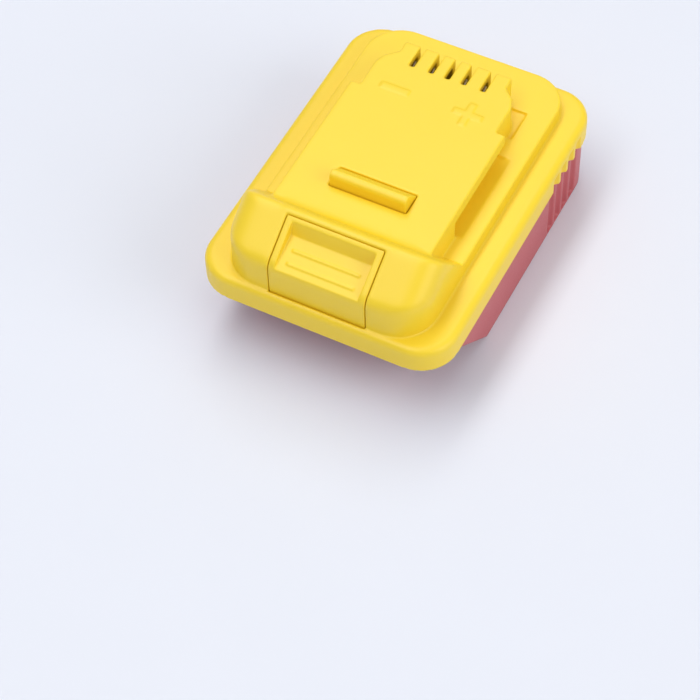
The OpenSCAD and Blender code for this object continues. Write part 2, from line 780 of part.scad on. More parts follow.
// Route of a wire from the tail of a supply blade, up behind the channel, to the underside of the board.
// bow_y and bow_z place the bow behind the blade, rise_y and rise_z the bend up to the board
bow_y = [2, 4.6, 6, 4.8, 2];
bow_z = [0, 1, 3.6, 6.6];
run_z = [1.6, 1.7, 2];
rise_y = [1, 3.6, 4.6];
rise_z = [3.4, 2];
wire_route = [[blade_tail + wire_gap, blade_z], [blade_tail + bow_y[0], blade_z + bow_z[0]],
    [blade_tail + bow_y[1], blade_z + bow_z[1]], [blade_tail + bow_y[2], blade_z + bow_z[2]],
    [blade_tail + bow_y[3], blade_z + bow_z[3]], [blade_tail + bow_y[4], pack_roof_z + run_z[0]],
    [blade_tail - bow_y[4], pack_roof_z + run_z[1]], [board_back - rise_y[0], pack_roof_z + run_z[2]],
    [board_back - rise_y[1], pack_roof_z + rise_z[0]], [board_back - rise_y[2], board_z - rise_z[1]],
    [board_back - rise_y[2], board_z - wire_gap]];
function wire_dir(i) =
    let (n = len(wire_route) - 1, d = wire_route[min(i + 1, n)] - wire_route[max(i - 1, 0)])
    i == 0 ? [0, 1, 0] : i == n ? [0, 0, 1] : unit([0, d[0], d[1]]);

module wire(x, r, tint) {
    color(tint) tube([for (i = [0:len(wire_route) - 1])
        ring([x, wire_route[i][0], wire_route[i][1]], wire_dir(i), [1, 0, 0], r, wire_sides)], wire_sides);
}

module wire_negative() wire(-blade_x, wire_r, black);
module wire_positive() wire(blade_x, wire_r, [0.75, 0.10, 0.10]);
module wire_sense() wire(0, sense_wire_r, [0.90, 0.90, 0.88]);

// Small chip with four leads on each side
module control_chip() {
    half = chip_size[0]/2;
    color(black) translate(on_board(chip_set)) {
        translate([0, 0, (chip_size[2] + chip_stand)/2])
            cube([chip_size[0], chip_size[1], chip_size[2] - chip_stand], center = true);
        both_sides() for (i = [-1.5:1:1.5]) translate([half, i*chip_pitch - lead_w/2, 0]) {
            translate([-eps, 0, chip_size[2]/2 - lead_t]) cube([eps + lead_out/2, lead_w, lead_t]);
            translate([lead_out/2 - lead_t, 0, 0]) cube([lead_t, lead_w, chip_size[2]/2]);
            translate([lead_out/2 - lead_t, 0, 0]) cube([lead_out/2 + lead_t, lead_w, lead_t]);
        }
    }
}

// Flat power transistor with its cooling tab
module switching_transistor() {
    x = transistor_size[0]/2;
    y = transistor_size[1]/2;
    color(black) translate(on_board(transistor_set)) {
        box([-x, -y, tab_t], [x, y, transistor_size[2]]);
        box([-x + tab_out/2, -y - tab_out, 0], [x - tab_out/2, y, tab_t]);
        for (s = [-1, 1]) translate([s*tab_lead[0] - tab_lead[1]/2, y - eps, 0])
            cube([tab_lead[1], tab_lead[2] + eps, tab_t]);
    }
}

// Standing electrolytic capacitor with a bead pressed round its can
module filter_capacitor() {
    color(black) translate(on_board(capacitor_set)) difference() {
        cylinder(d = capacitor_d, h = capacitor_h);
        translate([0, 0, bead_z]) rotate_extrude() translate([capacitor_d/2 + bead_r/2, 0])
            circle(r = bead_r);
    }
}

// Chip resistor that tells the tool what kind of supply is fitted
module identify_resistor() {
    color(black) translate(on_board(resistor_set) + [0, 0, resistor_size[2]/2])
        cube(resistor_size, center = true);
}

top_shell();
bottom_shell();
release_latch();
latch_spring_left();
latch_spring_right();
housing_screws();
circuit_board();
board_screws();
tool_terminal_holder();
tool_clip_negative();
tool_clip_positive();
tool_clip_sense();
tool_clip_identify();
pack_terminal_block();
pack_blade_negative();
pack_blade_positive();
pack_blade_sense();
wire_negative();
wire_positive();
wire_sense();
control_chip();
switching_transistor();
filter_capacitor();
identify_resistor();
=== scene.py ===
import math

import bmesh
import bpy
import numpy as np
from mathutils import Matrix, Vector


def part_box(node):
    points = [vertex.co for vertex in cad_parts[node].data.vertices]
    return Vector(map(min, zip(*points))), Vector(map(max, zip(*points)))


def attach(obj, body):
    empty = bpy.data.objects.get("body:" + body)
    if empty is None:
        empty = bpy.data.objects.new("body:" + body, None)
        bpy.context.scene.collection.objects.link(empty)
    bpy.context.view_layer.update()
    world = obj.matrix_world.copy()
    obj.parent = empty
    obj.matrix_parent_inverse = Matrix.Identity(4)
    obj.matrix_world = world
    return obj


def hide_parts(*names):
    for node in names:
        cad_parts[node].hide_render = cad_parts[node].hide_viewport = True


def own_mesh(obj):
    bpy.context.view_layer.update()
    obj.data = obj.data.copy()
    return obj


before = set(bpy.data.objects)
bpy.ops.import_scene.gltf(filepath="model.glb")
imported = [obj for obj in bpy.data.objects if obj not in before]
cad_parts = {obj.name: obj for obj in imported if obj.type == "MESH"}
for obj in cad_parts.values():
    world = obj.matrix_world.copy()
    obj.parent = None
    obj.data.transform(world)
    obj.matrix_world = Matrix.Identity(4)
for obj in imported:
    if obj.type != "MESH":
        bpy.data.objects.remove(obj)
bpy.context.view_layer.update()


# Lower shell: the red half of the housing, with side skirts, the channel in its underside, and the posts
# and bosses inside. It is injection moulded in ABS, so its edges are slightly round and its skin has a
# fine grain.

MM = 0.001


def linear(code):
    """An sRGB hex colour as the linear values that a shader takes."""
    c = np.array([int(code[i:i + 2], 16) for i in (1, 3, 5)])/255
    return (*np.where(c <= 0.04045, c/12.92, ((c + 0.055)/1.055)**2.4).tolist(), 1.0)


def add(tree, kind, inputs, **settings):
    """Adds one shader node: settings are its own properties, and inputs gives each socket
    its value, or the (node, output) that it is linked from."""
    node = tree.nodes.new(kind)
    for name, value in settings.items():
        setattr(node, name, value)
    for socket, value in inputs.items():
        if isinstance(value, tuple) and isinstance(value[0], bpy.types.Node):
            tree.links.new(value[0].outputs[value[1]], node.inputs[socket])
        else:
            node.inputs[socket].default_value = value
    return node


def blank(name):
    """A new material and its node tree, with nothing in it yet."""
    made = bpy.data.materials.new(name)
    made.use_nodes = True
    made.node_tree.nodes.clear()
    return made, made.node_tree


def moulded_plastic(name, colour, flow, roughness, grain):
    """Moulded plastic: one colour that drifts a little where the melt flowed, in patches of about 30 mm,
    and a spark-eroded grain, its size in millimetres, that breaks up the gloss and dimples the skin."""
    patch, dimple, uneven, ior = 30*MM, 0.03*MM, 0.05, 1.53
    made, tree = blank(name)
    place = add(tree, "ShaderNodeTexCoord", {})
    drift = add(tree, "ShaderNodeTexNoise", {"Vector": (place, "Object"), "Scale": 1/patch, "Detail": 3.0})
    tint = add(tree, "ShaderNodeMix", {0: (drift, 0), 6: linear(colour), 7: linear(flow)}, data_type="RGBA")
    grit = add(tree, "ShaderNodeTexNoise", {"Vector": (place, "Object"), "Scale": 1/(grain*MM),
                                            "Detail": 2.0})
    gloss = add(tree, "ShaderNodeMapRange", {"Value": (grit, 0), "From Min": 0.3, "From Max": 0.7,
                                             "To Min": roughness - uneven, "To Max": roughness + uneven})
    skin = add(tree, "ShaderNodeBump", {"Height": (grit, 0), "Strength": 0.3, "Distance": dimple})
    shader = add(tree, "ShaderNodeBsdfPrincipled", {"Base Color": (tint, 2), "Roughness": (gloss, 0),
                                                    "Normal": (skin, 0), "IOR": ior})
    add(tree, "ShaderNodeOutputMaterial", {"Surface": (shader, 0)})
    return made


def merged(node):
    """A copy of a CAD node's mesh with its loose triangles joined at their corners."""
    same_point = 0.002*MM
    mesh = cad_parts[node].data.copy()
    shape = bmesh.new()
    shape.from_mesh(mesh)
    bmesh.ops.remove_doubles(shape, verts=shape.verts, dist=same_point)
    shape.to_mesh(mesh)
    shape.free()
    return mesh


def put(name, mesh):
    """A new object at the origin for a mesh that has its place in its points."""
    piece = bpy.data.objects.new(name, mesh)
    bpy.context.scene.collection.objects.link(piece)
    return piece


def worked_in(piece):
    """Works a piece's modifiers into its mesh."""
    ready = piece.evaluated_get(bpy.context.evaluated_depsgraph_get())
    mesh = bpy.data.meshes.new_from_object(ready)
    piece.modifiers.clear()
    piece.data = mesh
    return mesh


def relaxed(points, here, there, share, passes):
    """Each pass moves a point by its share of the way to the mean of its neighbours; here and there are
    the two ends of every edge, listed in both directions."""
    count = np.bincount(here, minlength=len(points))[:, None]
    for _ in range(passes):
        total = np.stack([np.bincount(here, points[there, k], len(points)) for k in range(3)], 1)
        points = np.where(count > 0, points + share*(total/np.maximum(count, 1) - points), points)
    return points


def moulded_skin(name, node, cell, keep, soft=None, soft_passes=0):
    """A CAD solid with the round edges that a mould leaves: an even net of square cells is laid over it,
    a few passes relax the net, soft(points) gives each point's share of a longer run for broad blends,
    and the net is thinned to keep times its faces, which are then large only where the skin is flat."""
    pull, edge_passes = 0.5, 4
    piece = put(name, merged(node))
    net = piece.modifiers.new("net", "REMESH")
    net.mode = "VOXEL"
    net.voxel_size = cell
    mesh = worked_in(piece)
    points = np.empty(3*len(mesh.vertices))
    mesh.vertices.foreach_get("co", points)
    ends = np.empty(2*len(mesh.edges), np.int32)
    mesh.edges.foreach_get("vertices", ends)
    a, b = ends.reshape(-1, 2).T
    here, there = np.concatenate([a, b]), np.concatenate([b, a])
    points = relaxed(points.reshape(-1, 3), here, there, pull, edge_passes)
    if soft is not None:
        share = soft(points)
        near = share[here] > 0
        points = relaxed(points, here[near], there[near], pull*share[:, None], soft_passes)
    mesh.vertices.foreach_set("co", points.ravel())
    thin = piece.modifiers.new("thin", "DECIMATE")
    thin.ratio = keep
    worked_in(piece).shade_smooth()
    piece.modifiers.new("even shading", "WEIGHTED_NORMAL")
    return piece


def fit(piece, materials, slot, body, *nodes):
    """Gives a piece its materials and the body that it moves with, and hides the nodes that it stands for.
    The slot argument is not used."""
    piece.data.materials.clear()
    for made in materials:
        piece.data.materials.append(made)
    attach(piece, body)
    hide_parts(*nodes)
    return piece


# The grain makes the skin satin, not glossy. The real one is about 0.15 mm; it is drawn at 0.45 mm so
# that it shows.
abs_red = moulded_plastic("abs_red_moulded", "#bd5458", "#c46064", roughness=0.42, grain=0.45)
lower_shell = moulded_skin("lower_shell", "bottom_shell", cell=0.32*MM, keep=0.2)
fit(lower_shell, [abs_red], "red_plastic", "housing", "bottom_shell")


# Supply terminals: a black comb of glass-filled nylon, moulded, stands in the end wall of the lower
# channel. It holds three blades stamped from brass strip, with bevelled tips, that reach forward into
# the channel.

def edged_copy(name, node, width):
    """A CAD solid with its flat faces made whole and its edges rounded by width."""
    flat_within, edge_from = math.radians(0.5), math.radians(30)
    mesh = merged(node)
    shape = bmesh.new()
    shape.from_mesh(mesh)
    bmesh.ops.dissolve_limit(shape, angle_limit=flat_within, verts=shape.verts, edges=shape.edges)
    shape.to_mesh(mesh)
    shape.free()
    mesh.shade_smooth()
    piece = put(name, mesh)
    edge = piece.modifiers.new("rounded edges", "BEVEL")
    edge.limit_method = "ANGLE"
    edge.angle_limit = edge_from
    edge.width = width
    edge.segments = 2
    edge.use_clamp_overlap = False
    piece.modifiers.new("even shading", "WEIGHTED_NORMAL")
    return piece


def metal(name, colour, film, roughness, lines):
    """Bare metal: fine lines from rolling or drawing, their sizes in millimetres along x, y and z, that
    spread the gloss, under a thin film of tarnish in patches of about 4 mm."""
    stain, scratch, uneven = 4*MM, 0.01*MM, 0.08
    made, tree = blank(name)
    place = add(tree, "ShaderNodeTexCoord", {})
    along = add(tree, "ShaderNodeMapping", {"Vector": (place, "Object"),
                                            "Scale": [1/(size*MM) for size in lines]})
    line = add(tree, "ShaderNodeTexNoise", {"Vector": (along, 0), "Scale": 1.0, "Detail": 2.0})
    patch = add(tree, "ShaderNodeTexNoise", {"Vector": (place, "Object"), "Scale": 1/stain, "Detail": 4.0})
    tint = add(tree, "ShaderNodeMix", {0: (patch, 0), 6: linear(colour), 7: linear(film)}, data_type="RGBA")
    gloss = add(tree, "ShaderNodeMapRange", {"Value": (line, 0), "From Min": 0.3, "From Max": 0.7,
                                             "To Min": roughness - uneven, "To Max": roughness + uneven})
    skin = add(tree, "ShaderNodeBump", {"Height": (line, 0), "Strength": 0.2, "Distance": scratch})
    shader = add(tree, "ShaderNodeBsdfPrincipled", {"Base Color": (tint, 2), "Roughness": (gloss, 0),
                                                    "Normal": (skin, 0), "Metallic": 1.0})
    add(tree, "ShaderNodeOutputMaterial", {"Surface": (shader, 0)})
    return made


# Glass-filled nylon is dull and slightly mottled where fibres lie near the skin, about 0.6 mm apart.
nylon_black = moulded_plastic("nylon_glass_filled_black", "#1b1b1d", "#2a2a2c", roughness=0.55, grain=0.6)
supply_comb = edged_copy("supply_comb", "pack_terminal_block", 0.25*MM)
fit(supply_comb, [nylon_black], "black_plastic", "housing", "pack_terminal_block")
# Rolled strip shows lines along its length; the real ones are finer than the 0.2 mm drawn here.
brass_strip = metal("brass_strip_stamped", "#d9b565", "#c49a4c", roughness=0.3, lines=(0.2, 6, 0.2))
for side in ("negative", "positive", "sense"):
    blade = edged_copy("blade_" + side, "pack_blade_" + side, 0.1*MM)
    fit(blade, [brass_strip], "blade_brass", "housing", "pack_blade_" + side)


# Wires: stranded copper in PVC sleeving, stripped and tinned at both ends. Each is soldered to the tail of
# a blade, bows up behind the comb, comes forward over the channel's roof and rises to the underside of
# the board.

def through(points, steps):
    """A smooth curve through points: between two of them it is the cubic whose slope at each point is
    half the way from the point before to the one after."""
    p = np.array(points, float)
    slope = np.gradient(p, axis=0)
    t = np.linspace(0, 1, steps, endpoint=False)[:, None]
    a, b, sa, sb = p[:-1, None], p[1:, None], slope[:-1, None], slope[1:, None]
    curve = (a*(2*t**3 - 3*t**2 + 1) + sa*(t**3 - 2*t**2 + t)
             + b*(3*t**2 - 2*t**3) + sb*(t**3 - t**2))
    return np.vstack([curve.reshape(-1, p.shape[1]), p[-1:]])


def ring_faces(rows, columns):
    """The four-sided faces of a grid whose rows are closed rings, and a face over each end."""
    i, k = np.meshgrid(np.arange(rows - 1), np.arange(columns), indexing="ij")
    j = (k + 1) % columns
    sides = np.stack([i*columns + k, i*columns + j, (i + 1)*columns + j, (i + 1)*columns + k], -1)
    first, last = np.arange(columns)[::-1], np.arange(columns) + (rows - 1)*columns
    return sides.reshape(-1, 4).tolist() + [first.tolist(), last.tolist()]


def tube(path, across, radius, sides):
    """Rings of points round a path: at each point a circle of that point's radius stands square to the
    path, measured from the direction across."""
    along = np.gradient(path, axis=0)
    along /= np.linalg.norm(along, axis=1, keepdims=True)
    across = across - (across*along).sum(1, keepdims=True)*along
    across /= np.linalg.norm(across, axis=1, keepdims=True)
    up = np.cross(along, across)
    turn = np.linspace(0, 2*np.pi, sides, endpoint=False)
    ring = np.cos(turn)[:, None]*across[:, None] + np.sin(turn)[:, None]*up[:, None]
    return path[:, None] + np.broadcast_to(radius, len(path))[:, None, None]*ring


def skin_of(name, grid):
    """An object whose surface is a grid of rings, closed at both ends."""
    mesh = bpy.data.meshes.new(name)
    mesh.from_pydata(grid.reshape(-1, 3).tolist(), [], ring_faces(*grid.shape[:2]))
    mesh.shade_smooth()
    return put(name, mesh)


def bare_rows(piece, rows, columns):
    """Gives the faces of some rows of a grid the piece's second material."""
    index = np.zeros(len(piece.data.polygons), np.int32)
    index[:-2] = np.repeat(rows, columns)
    index[-2:] = rows[0], rows[-1]
    piece.data.polygons.foreach_set("material_index", index)


def box_of(node):
    """The lowest corner, the highest corner and the middle of a CAD node, in millimetres."""
    low, high = (np.array(corner)/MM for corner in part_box(node))
    return low, high, (low + high)/2


# Points of the wires' shared route, as (along the part, up); then the steps from one to the next, and the
# sides of the tube that is laid along it.
wire_line = [(36.05, 8.2), (38, 8.2), (40.6, 9.2), (42, 11.8), (40.8, 14.8), (38, 16.8), (34, 16.9),
             (29.1, 17.2), (26.5, 18.6), (25.5, 20), (25.5, 21.95)]
wire_steps, wire_sides = 10, 20
# The bare length at each end and the length in which its solder thins out; then the core's thickness and
# what solder adds to it, as shares of the sleeve's.
stripped, solder = 0.9*MM, 0.35*MM
core_share, solder_share = 0.6, 0.35
# Tinned ends are silvery and a little mottled, drawn 0.3 mm across. Extruded sleeving is smooth and satin,
# with a faint ripple of 0.8 mm.
tinned = metal("copper_tinned", "#c9c7c1", "#b4afa6", roughness=0.32, lines=(0.3, 0.3, 0.3))
for side, colour, sheen, slot in (("negative", "#161618", "#242427", "black_wire"),
                                  ("positive", "#a81f22", "#bb2d2e", "red_wire"),
                                  ("sense", "#e4e3de", "#d6d4cd", "white_wire")):
    low, high, middle = box_of("wire_" + side)
    sleeve_r = (high[0] - low[0])/2*MM
    line = through(wire_line, wire_steps)*MM
    path = np.column_stack([np.full(len(line), middle[0]*MM), line])
    run = np.concatenate([[0], np.cumsum(np.linalg.norm(np.diff(path, axis=0), axis=1))])
    end = np.minimum(run, run[-1] - run)
    bare = end < stripped
    thick = sleeve_r*np.where(bare, core_share + solder_share*np.exp(-end/solder), 1.0)
    wire = skin_of("lead_" + side, tube(path, np.tile([1.0, 0, 0], (len(path), 1)), thick, wire_sides))
    sleeve = moulded_plastic("pvc_sleeve_" + side, colour, sheen, roughness=0.4, grain=0.8)
    fit(wire, [sleeve, tinned], slot, "housing", "wire_" + side)
    bare_rows(wire, bare[:-1] | bare[1:], wire_sides)


# Circuit board: woven glass in epoxy under green solder mask, with copper tracks showing through as paler
# lines. It lies on four posts of the lower shell, and its cut edges show the bare laminate.

# Tracks 0.4 mm wide run about 2.2 mm apart, in lengths of 9 mm. The weave under the glossy mask is drawn
# 0.5 mm across.
track_l, track_step, track_w = 9, 2.2, 0.4
weave_size, track_h = 0.5*MM, 0.03*MM
mask_made, tree = blank("glass_epoxy_solder_mask")
place = add(tree, "ShaderNodeTexCoord", {})
track = add(tree, "ShaderNodeTexBrick", {"Vector": (place, "Object"), "Scale": 1/(track_l*MM),
                                         "Brick Width": 1.0, "Row Height": track_step/track_l,
                                         "Mortar Size": track_w/2/track_l, "Mortar Smooth": 0.1,
                                         "Color1": linear("#0f5a33"), "Color2": linear("#115f37"),
                                         "Mortar": linear("#2c8552")})
weave = add(tree, "ShaderNodeTexNoise", {"Vector": (place, "Object"), "Scale": 1/weave_size, "Detail": 2.0})
facing = add(tree, "ShaderNodeSeparateXYZ", {"Vector": (place, "Normal")})
upright = add(tree, "ShaderNodeMath", {0: (facing, 2)}, operation="ABSOLUTE")
face = add(tree, "ShaderNodeMath", {0: (upright, 0), 1: 0.5}, operation="GREATER_THAN")
tint = add(tree, "ShaderNodeMix", {0: (face, 0), 6: linear("#b9b07c"), 7: (track, 0)}, data_type="RGBA")
gloss = add(tree, "ShaderNodeMapRange", {"Value": (weave, 0), "To Min": 0.22, "To Max": 0.4})
skin = add(tree, "ShaderNodeBump", {"Height": (track, 1), "Strength": 0.4, "Distance": track_h})
shader = add(tree, "ShaderNodeBsdfPrincipled", {"Base Color": (tint, 2), "Roughness": (gloss, 0),
                                                "Normal": (skin, 0), "IOR": 1.55})
add(tree, "ShaderNodeOutputMaterial", {"Surface": (shader, 0)})
board = edged_copy("board", "circuit_board", 0.08*MM)
fit(board, [mask_made], "board_laminate", "housing", "circuit_board")


# Board screws and housing screws: zinc-plated steel, cold headed with a crossed driver recess, and with a
# thread rolled on the shank that cuts its own way into the plastic. Four hold the board, and four hold the
# shells together.

def screw_grid(seat, sense, head_r, head_h, shank_r, length, pitch):
    """A screw as rings round its axis, from the middle of its head's face to its tip. The recess is a
    cross that sinks the face; the thread is a ridge whose height depends on depth over pitch less turn
    over a full turn."""
    columns, face_rows, rim_rows, thread_rows = 40, 18, 5, 8
    # Shares of the head's radius: the span of its face, the rim's round, and the recess's arms, with half
    # their width, their reach, and the run of the walls beside and at the end of them.
    face_span, rim_round = (0.05, 0.86), 0.14
    arm_half, arm_wall, arm_reach, arm_end = 0.2, 0.1, 0.62, 0.14
    # Shares of the head's height: the fall of its crown, and the depth of the recess.
    crown_fall, recess_d = 0.12, 0.5
    # Shares of the shank's radius: the neck under the head, the core between the threads, the length of
    # the point and its blunt end. The first ring under the neck is a share of the length down.
    neck, core, point_l, point_end, first_ring = 0.8, 0.74, 1.6, 0.12, 0.02
    # Shares of the pitch: half the width of the ridge, and the bare stretch before it rises.
    ridge_half, run_in = 0.3, 0.3
    turn = np.linspace(0, 2*np.pi, columns, endpoint=False)[None]
    face = np.linspace(*face_span, face_rows)[:, None]*head_r
    x, y = face*np.cos(turn), face*np.sin(turn)
    narrow, wide = np.minimum(abs(x), abs(y)), np.maximum(abs(x), abs(y))
    arms = np.clip((arm_half*head_r - narrow)/(arm_wall*head_r), 0, 1)
    cross = arms*np.clip((arm_reach*head_r - wide)/(arm_end*head_r), 0, 1)
    crown = -head_h + crown_fall*head_h*(face/head_r)**2 + recess_d*head_h*cross
    edge = np.linspace(0, np.pi/2, rim_rows)[:, None]
    round_r = rim_round*head_r
    rim_r = head_r - round_r + round_r*np.sin(edge) + 0*turn
    rim_d = crown[-1:, :] + round_r*(1 - np.cos(edge))
    under_r = np.array([[head_r], [neck*shank_r]]) + 0*turn
    depth = np.arange(first_ring*length, length, pitch/thread_rows)[:, None] + 0*turn
    phase = (depth/pitch - turn/(2*np.pi)) % 1
    ridge = np.clip(1 - abs(phase - 0.5)/ridge_half, 0, 1)*np.clip(depth/pitch - run_in, 0, 1)
    point = np.clip((length - depth)/(point_l*shank_r), point_end, 1)
    shank = shank_r*point*(core + (1 - core)*ridge)
    r = np.concatenate([face + 0*turn, rim_r, under_r, shank])
    d = np.concatenate([crown, rim_d, 0*under_r, depth])
    return np.stack([r*np.cos(turn), sense*r*np.sin(turn), seat + sense*d], -1)


def screw_set(name, grid, places):
    """Copies of one screw at several places, as one object."""
    rows, columns = grid.shape[:2]
    moved = np.concatenate([grid.reshape(-1, 3) + np.array([x, y, 0.0]) for x, y in places])
    one = ring_faces(rows, columns)
    faces = [[v + n*rows*columns for v in face] for n in range(len(places)) for face in one]
    mesh = bpy.data.meshes.new(name)
    mesh.from_pydata((moved*MM).tolist(), [], faces)
    mesh.shade_smooth()
    return put(name, mesh)


# The screws' tips end a little short of the CAD solids'.
tip_gap = 0.1
# Zinc plating is bright and bluish, with a faint mottle of 0.5 mm.
zinc = metal("steel_zinc_plated", "#c3c6cb", "#a9adb3", roughness=0.3, lines=(0.5, 0.5, 0.5))
# Each set: its node, whether its tips point up or down, the head's radius and height, the shank's radius
# and the thread's pitch.
for name, node, sense, head_r, head_h, shank_r, pitch in (
        ("board_screws_zinc", "board_screws", -1, 2.0, 1.3, 1.0, 0.7),
        ("case_screws_zinc", "housing_screws", 1, 2.2, 1.8, 1.3, 1.0)):
    low, high, _ = box_of(node)
    length = high[2] - low[2] - head_h - tip_gap
    seat = low[2] + head_h if sense > 0 else high[2] - head_h
    places = [(x, y) for x in (low[0] + head_r, high[0] - head_r)
              for y in (low[1] + head_r, high[1] - head_r)]
    screws = screw_set(name, screw_grid(seat, sense, head_r, head_h, shank_r, length, pitch), places)
    fit(screws, [zinc], "screw_steel", "housing", node)


# Electronics on the board: a control chip and a power transistor in black epoxy resin with tinned leads, a
# standing capacitor in a sleeved aluminium can, and a chip resistor. All are soldered to the front part of
# the board.

def two_finishes(name, axis, middle, reach, inner, outer):
    """One material with two finishes, split where the distance along an axis from middle, in millimetres,
    passes reach. Each finish is (colour, roughness, metallic), with a fine speckle 0.3 mm across."""
    speckle, pit, uneven = 0.3*MM, 0.02*MM, 0.1
    made, tree = blank(name)
    place = add(tree, "ShaderNodeTexCoord", {})
    parts = add(tree, "ShaderNodeSeparateXYZ", {"Vector": (place, "Object")})
    off = add(tree, "ShaderNodeMath", {0: (parts, axis), 1: middle*MM}, operation="SUBTRACT")
    far = add(tree, "ShaderNodeMath", {0: (off, 0)}, operation="ABSOLUTE")
    past = add(tree, "ShaderNodeMath", {0: (far, 0), 1: reach*MM}, operation="GREATER_THAN")
    speck = add(tree, "ShaderNodeTexNoise", {"Vector": (place, "Object"), "Scale": 1/speckle, "Detail": 2.0})
    skin = add(tree, "ShaderNodeBump", {"Height": (speck, 0), "Strength": 0.25, "Distance": pit})
    shades = []
    for colour, roughness, metallic in (inner, outer):
        dull = add(tree, "ShaderNodeMapRange", {"Value": (speck, 0), "To Min": roughness - uneven,
                                                "To Max": roughness + uneven})
        shades.append(add(tree, "ShaderNodeBsdfPrincipled", {"Base Color": linear(colour),
                                                             "Roughness": (dull, 0),
                                                             "Metallic": metallic, "Normal": (skin, 0)}))
    both = add(tree, "ShaderNodeMixShader", {0: (past, 0), 1: (shades[0], 0), 2: (shades[1], 0)})
    add(tree, "ShaderNodeOutputMaterial", {"Surface": (both, 0)})
    return made


# Moulded resin is dull black, the resistor's glaze a little glossier, and tinned metal silvery.
resin, glaze, tin = ("#1d1d1f", 0.5, 0.0), ("#232327", 0.4, 0.0), ("#cfd0d0", 0.3, 1.0)
# Each case: its node, the rounding of its edges, its material, the axis that splits the finishes, half the
# length of the dark part, and how far the dark part's middle lies above the middle of the whole.
for name, node, rounding, finish, axis, reach, above, dark in (
        ("chip", "control_chip", 0.05, "epoxy_chip_tinned_leads", 0, 2.0, 0.0, resin),
        ("transistor", "switching_transistor", 0.08, "epoxy_power_case_tinned_tab", 2, 1.0, 0.35, resin),
        ("resistor", "identify_resistor", 0.06, "ceramic_chip_tinned_ends", 0, 1.15, 0.0, glaze)):
    split = box_of(node)[2][axis] + above
    case = edged_copy(name, node, rounding*MM)
    fit(case, [two_finishes(finish, axis, split, reach, dark, tin)], "chip_resin", "housing", node)

# The can is drawn aluminium with a bead rolled in near its foot; the shrink sleeve stops at the top, where
# the end has a crossed groove to vent it, and carries a pale stripe along its negative side.
low, high, (can_x, can_y, _) = box_of("filter_capacitor")
can_foot, can_h, can_r = low[2], high[2] - low[2], (high[0] - low[0])/2
can_sides, foot_rows, wall_rows, bend_rows, end_rows = 64, 6, 42, 6, 16
# Millimetres: the level where the wall begins, the round of the top edge, the bead's depth, level and half
# width, how far the end is sunk, and the groove's depth and half width.
wall_from, can_round, bead_d, bead_z, bead_half = 0.25, 0.5, 0.3, 1.6, 0.35
end_sink, groove_d, groove_half = 0.15, 0.1, 0.22
# Shares of the can's radius: the spans of the foot and of the end, and the groove's reach and the stripe's
# edge from the middle.
foot_span, end_span, groove_reach, stripe_from = (0.1, 0.92), (0.84, 0.05), 0.7, 0.75
turn = np.linspace(0, 2*np.pi, can_sides, endpoint=False)[None]
foot_r = np.linspace(*foot_span, foot_rows)[:, None]*can_r
wall_z = np.linspace(wall_from, can_h - can_round, wall_rows)[:, None]
bead = bead_d*np.exp(-((wall_z - bead_z)/bead_half)**2)
bend = np.linspace(0, np.pi/2, bend_rows)[:, None]
end_r = np.linspace(*end_span, end_rows)[:, None]*can_r
from_cross = np.minimum(abs(end_r*np.cos(turn)), abs(end_r*np.sin(turn)))
groove = groove_d*np.clip(1 - from_cross/groove_half, 0, 1)*(end_r < groove_reach*can_r)
bend_r, bend_z = can_r - can_round + can_round*np.cos(bend), can_h - can_round + can_round*np.sin(bend)
can_rows = np.concatenate([foot_r, can_r - bead, bend_r, end_r]) + 0*turn
can_level = np.concatenate([np.concatenate([0*foot_r, wall_z, bend_z]) + 0*turn, can_h - end_sink - groove])
can_grid = np.stack([can_x + can_rows*np.cos(turn), can_y + can_rows*np.sin(turn), can_foot + can_level], -1)
can = skin_of("capacitor", can_grid*MM)
# Shrunk PVC is glossy, with soft creases about 1.2 mm across; the bare end shows aluminium, with drawing
# marks drawn at 0.4 mm so that they show.
crease_size, crease_d = 1.2*MM, 0.05*MM
sleeve_made, tree = blank("pvc_shrink_sleeve_striped")
place = add(tree, "ShaderNodeTexCoord", {})
parts = add(tree, "ShaderNodeSeparateXYZ", {"Vector": (place, "Object")})
stripe = add(tree, "ShaderNodeMath", {0: (parts, 0), 1: (can_x - stripe_from*can_r)*MM},
             operation="LESS_THAN")
crease = add(tree, "ShaderNodeTexNoise", {"Vector": (place, "Object"), "Scale": 1/crease_size,
                                          "Detail": 3.0})
tint = add(tree, "ShaderNodeMix", {0: (stripe, 0), 6: linear("#1f2430"), 7: linear("#b9bcc2")},
           data_type="RGBA")
gloss = add(tree, "ShaderNodeMapRange", {"Value": (crease, 0), "To Min": 0.22, "To Max": 0.42})
skin = add(tree, "ShaderNodeBump", {"Height": (crease, 0), "Strength": 0.15, "Distance": crease_d})
shader = add(tree, "ShaderNodeBsdfPrincipled", {"Base Color": (tint, 2), "Roughness": (gloss, 0),
                                                "Normal": (skin, 0)})
add(tree, "ShaderNodeOutputMaterial", {"Surface": (shader, 0)})
aluminium = metal("aluminium_drawn", "#d5d7d9", "#c4c6c9", roughness=0.3, lines=(0.4, 0.4, 0.4))
fit(can, [sleeve_made, aluminium], "capacitor_can", "housing", "filter_capacitor")
bare_rows(can, np.arange(len(can_rows) - 1) >= len(can_rows) - 1 - end_rows, can_sides)


# Tool terminals: a black nylon comb stands on the board and keeps four clips upright. The clips are folded
# from springy tinned brass strip, pinch towards their mouths, and reach into the slots of the upper shell.

tool_comb = edged_copy("tool_comb", "tool_terminal_holder", 0.2*MM)
fit(tool_comb, [nylon_black], "black_plastic", "housing", "tool_terminal_holder")
